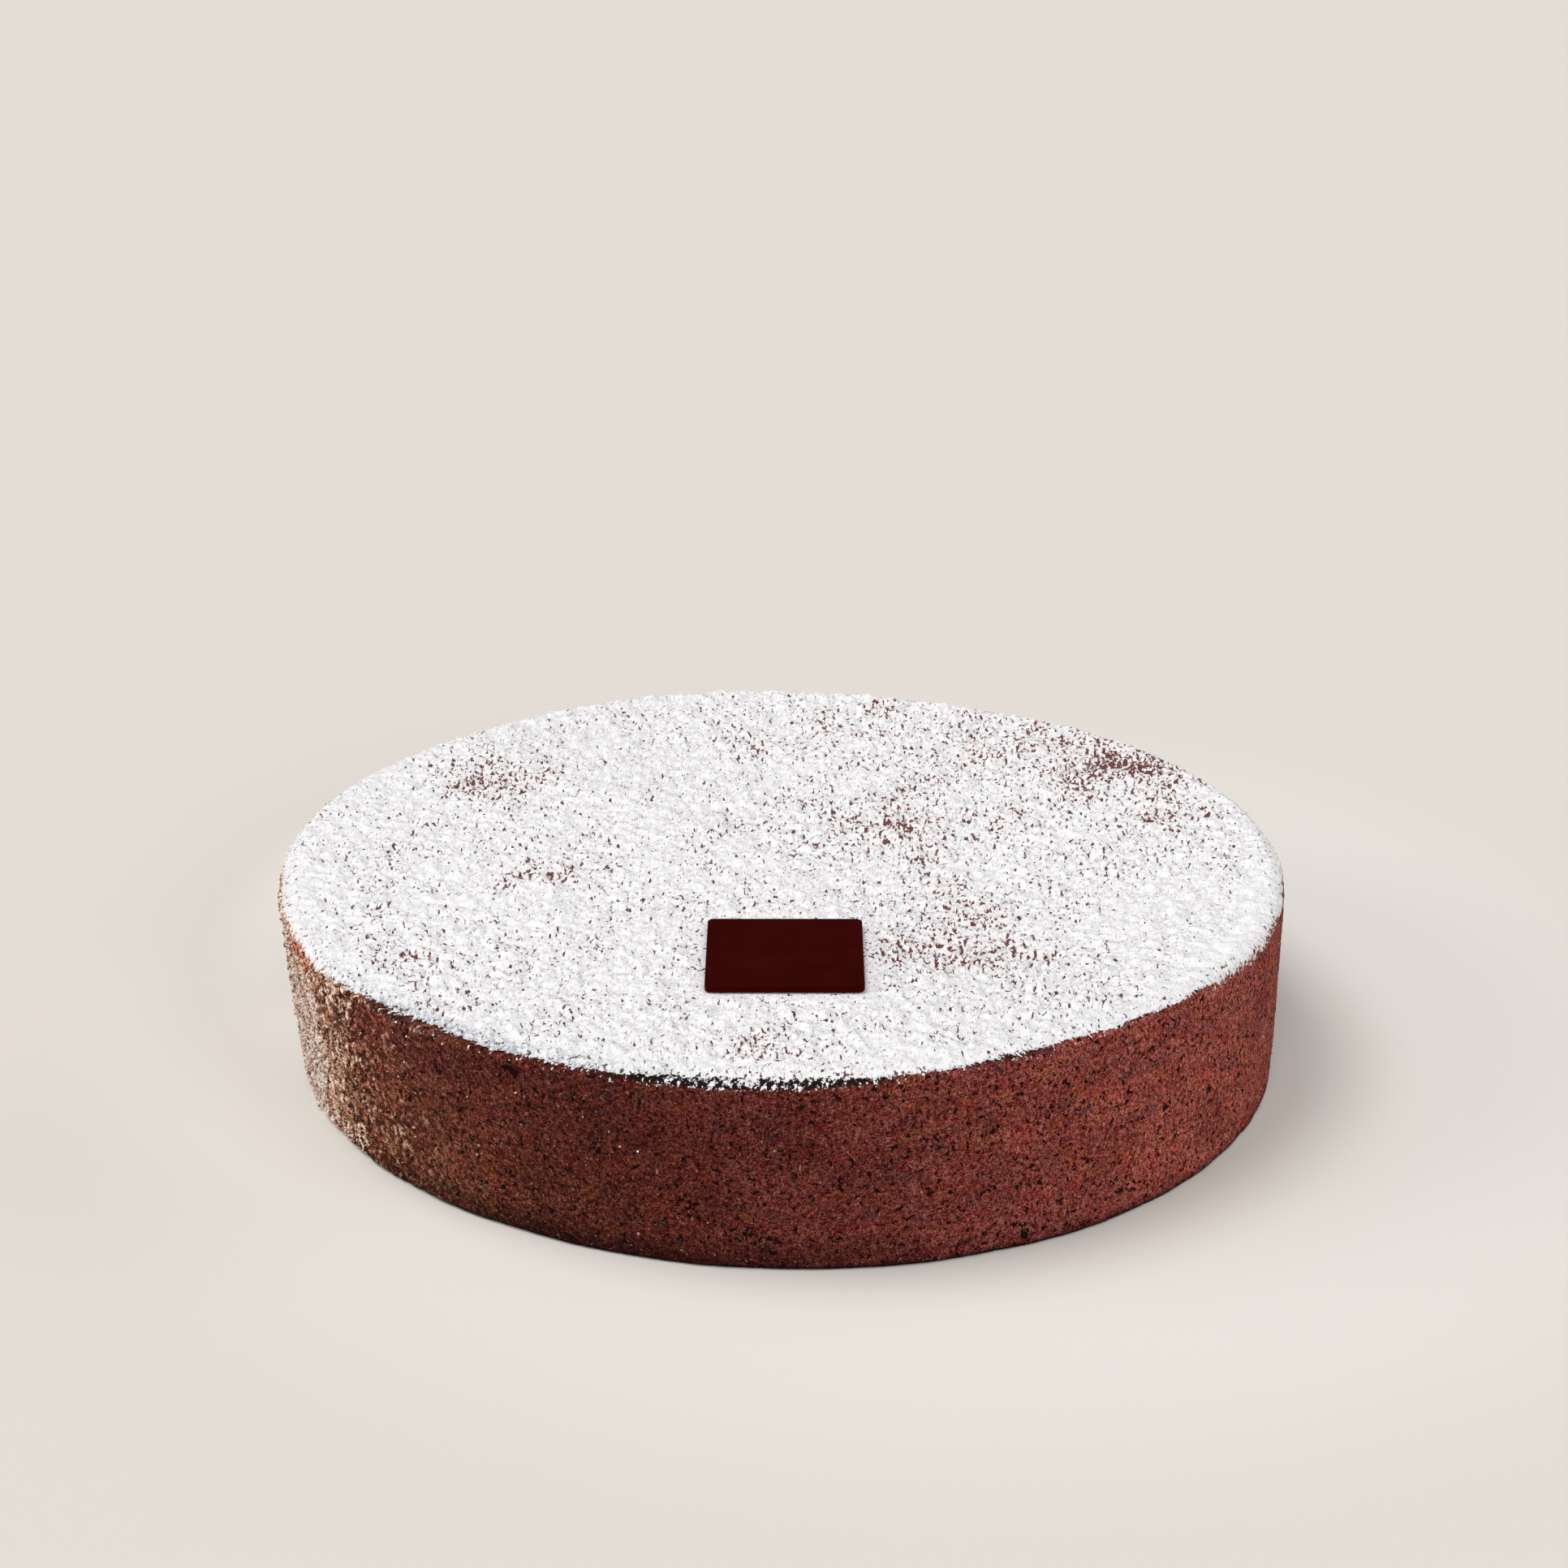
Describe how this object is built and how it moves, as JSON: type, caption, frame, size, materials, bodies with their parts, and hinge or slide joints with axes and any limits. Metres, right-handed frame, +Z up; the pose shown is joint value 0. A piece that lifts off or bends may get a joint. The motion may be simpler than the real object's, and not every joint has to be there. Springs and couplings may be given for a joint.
{
  "type": "flourless chocolate cake",
  "caption": "Low round chocolate cake with a straight crumb side, a dusted icing-sugar top and a thin rectangular chocolate plaque lying near the front.",
  "frame": {"origin": "on the plane the cake stands on, under the middle of its bounding box", "axes": "+Z up through the cake's low height, +X to the right and +Y away from the side where the plaque lies"},
  "size_m": [0.2193, 0.2218, 0.0445],
  "materials": {
    "chocolate_crumb": "fine dry reddish-brown crumb, matt",
    "icing_sugar": "white powder, fully matt",
    "plaque_chocolate": "very dark red-brown chocolate, smooth satin"
  },
  "bodies": {
    "root": {"cake": "chocolate_crumb", "sugar_coat": "icing_sugar", "plaque": "plaque_chocolate"}
  },
  "joints": []
}
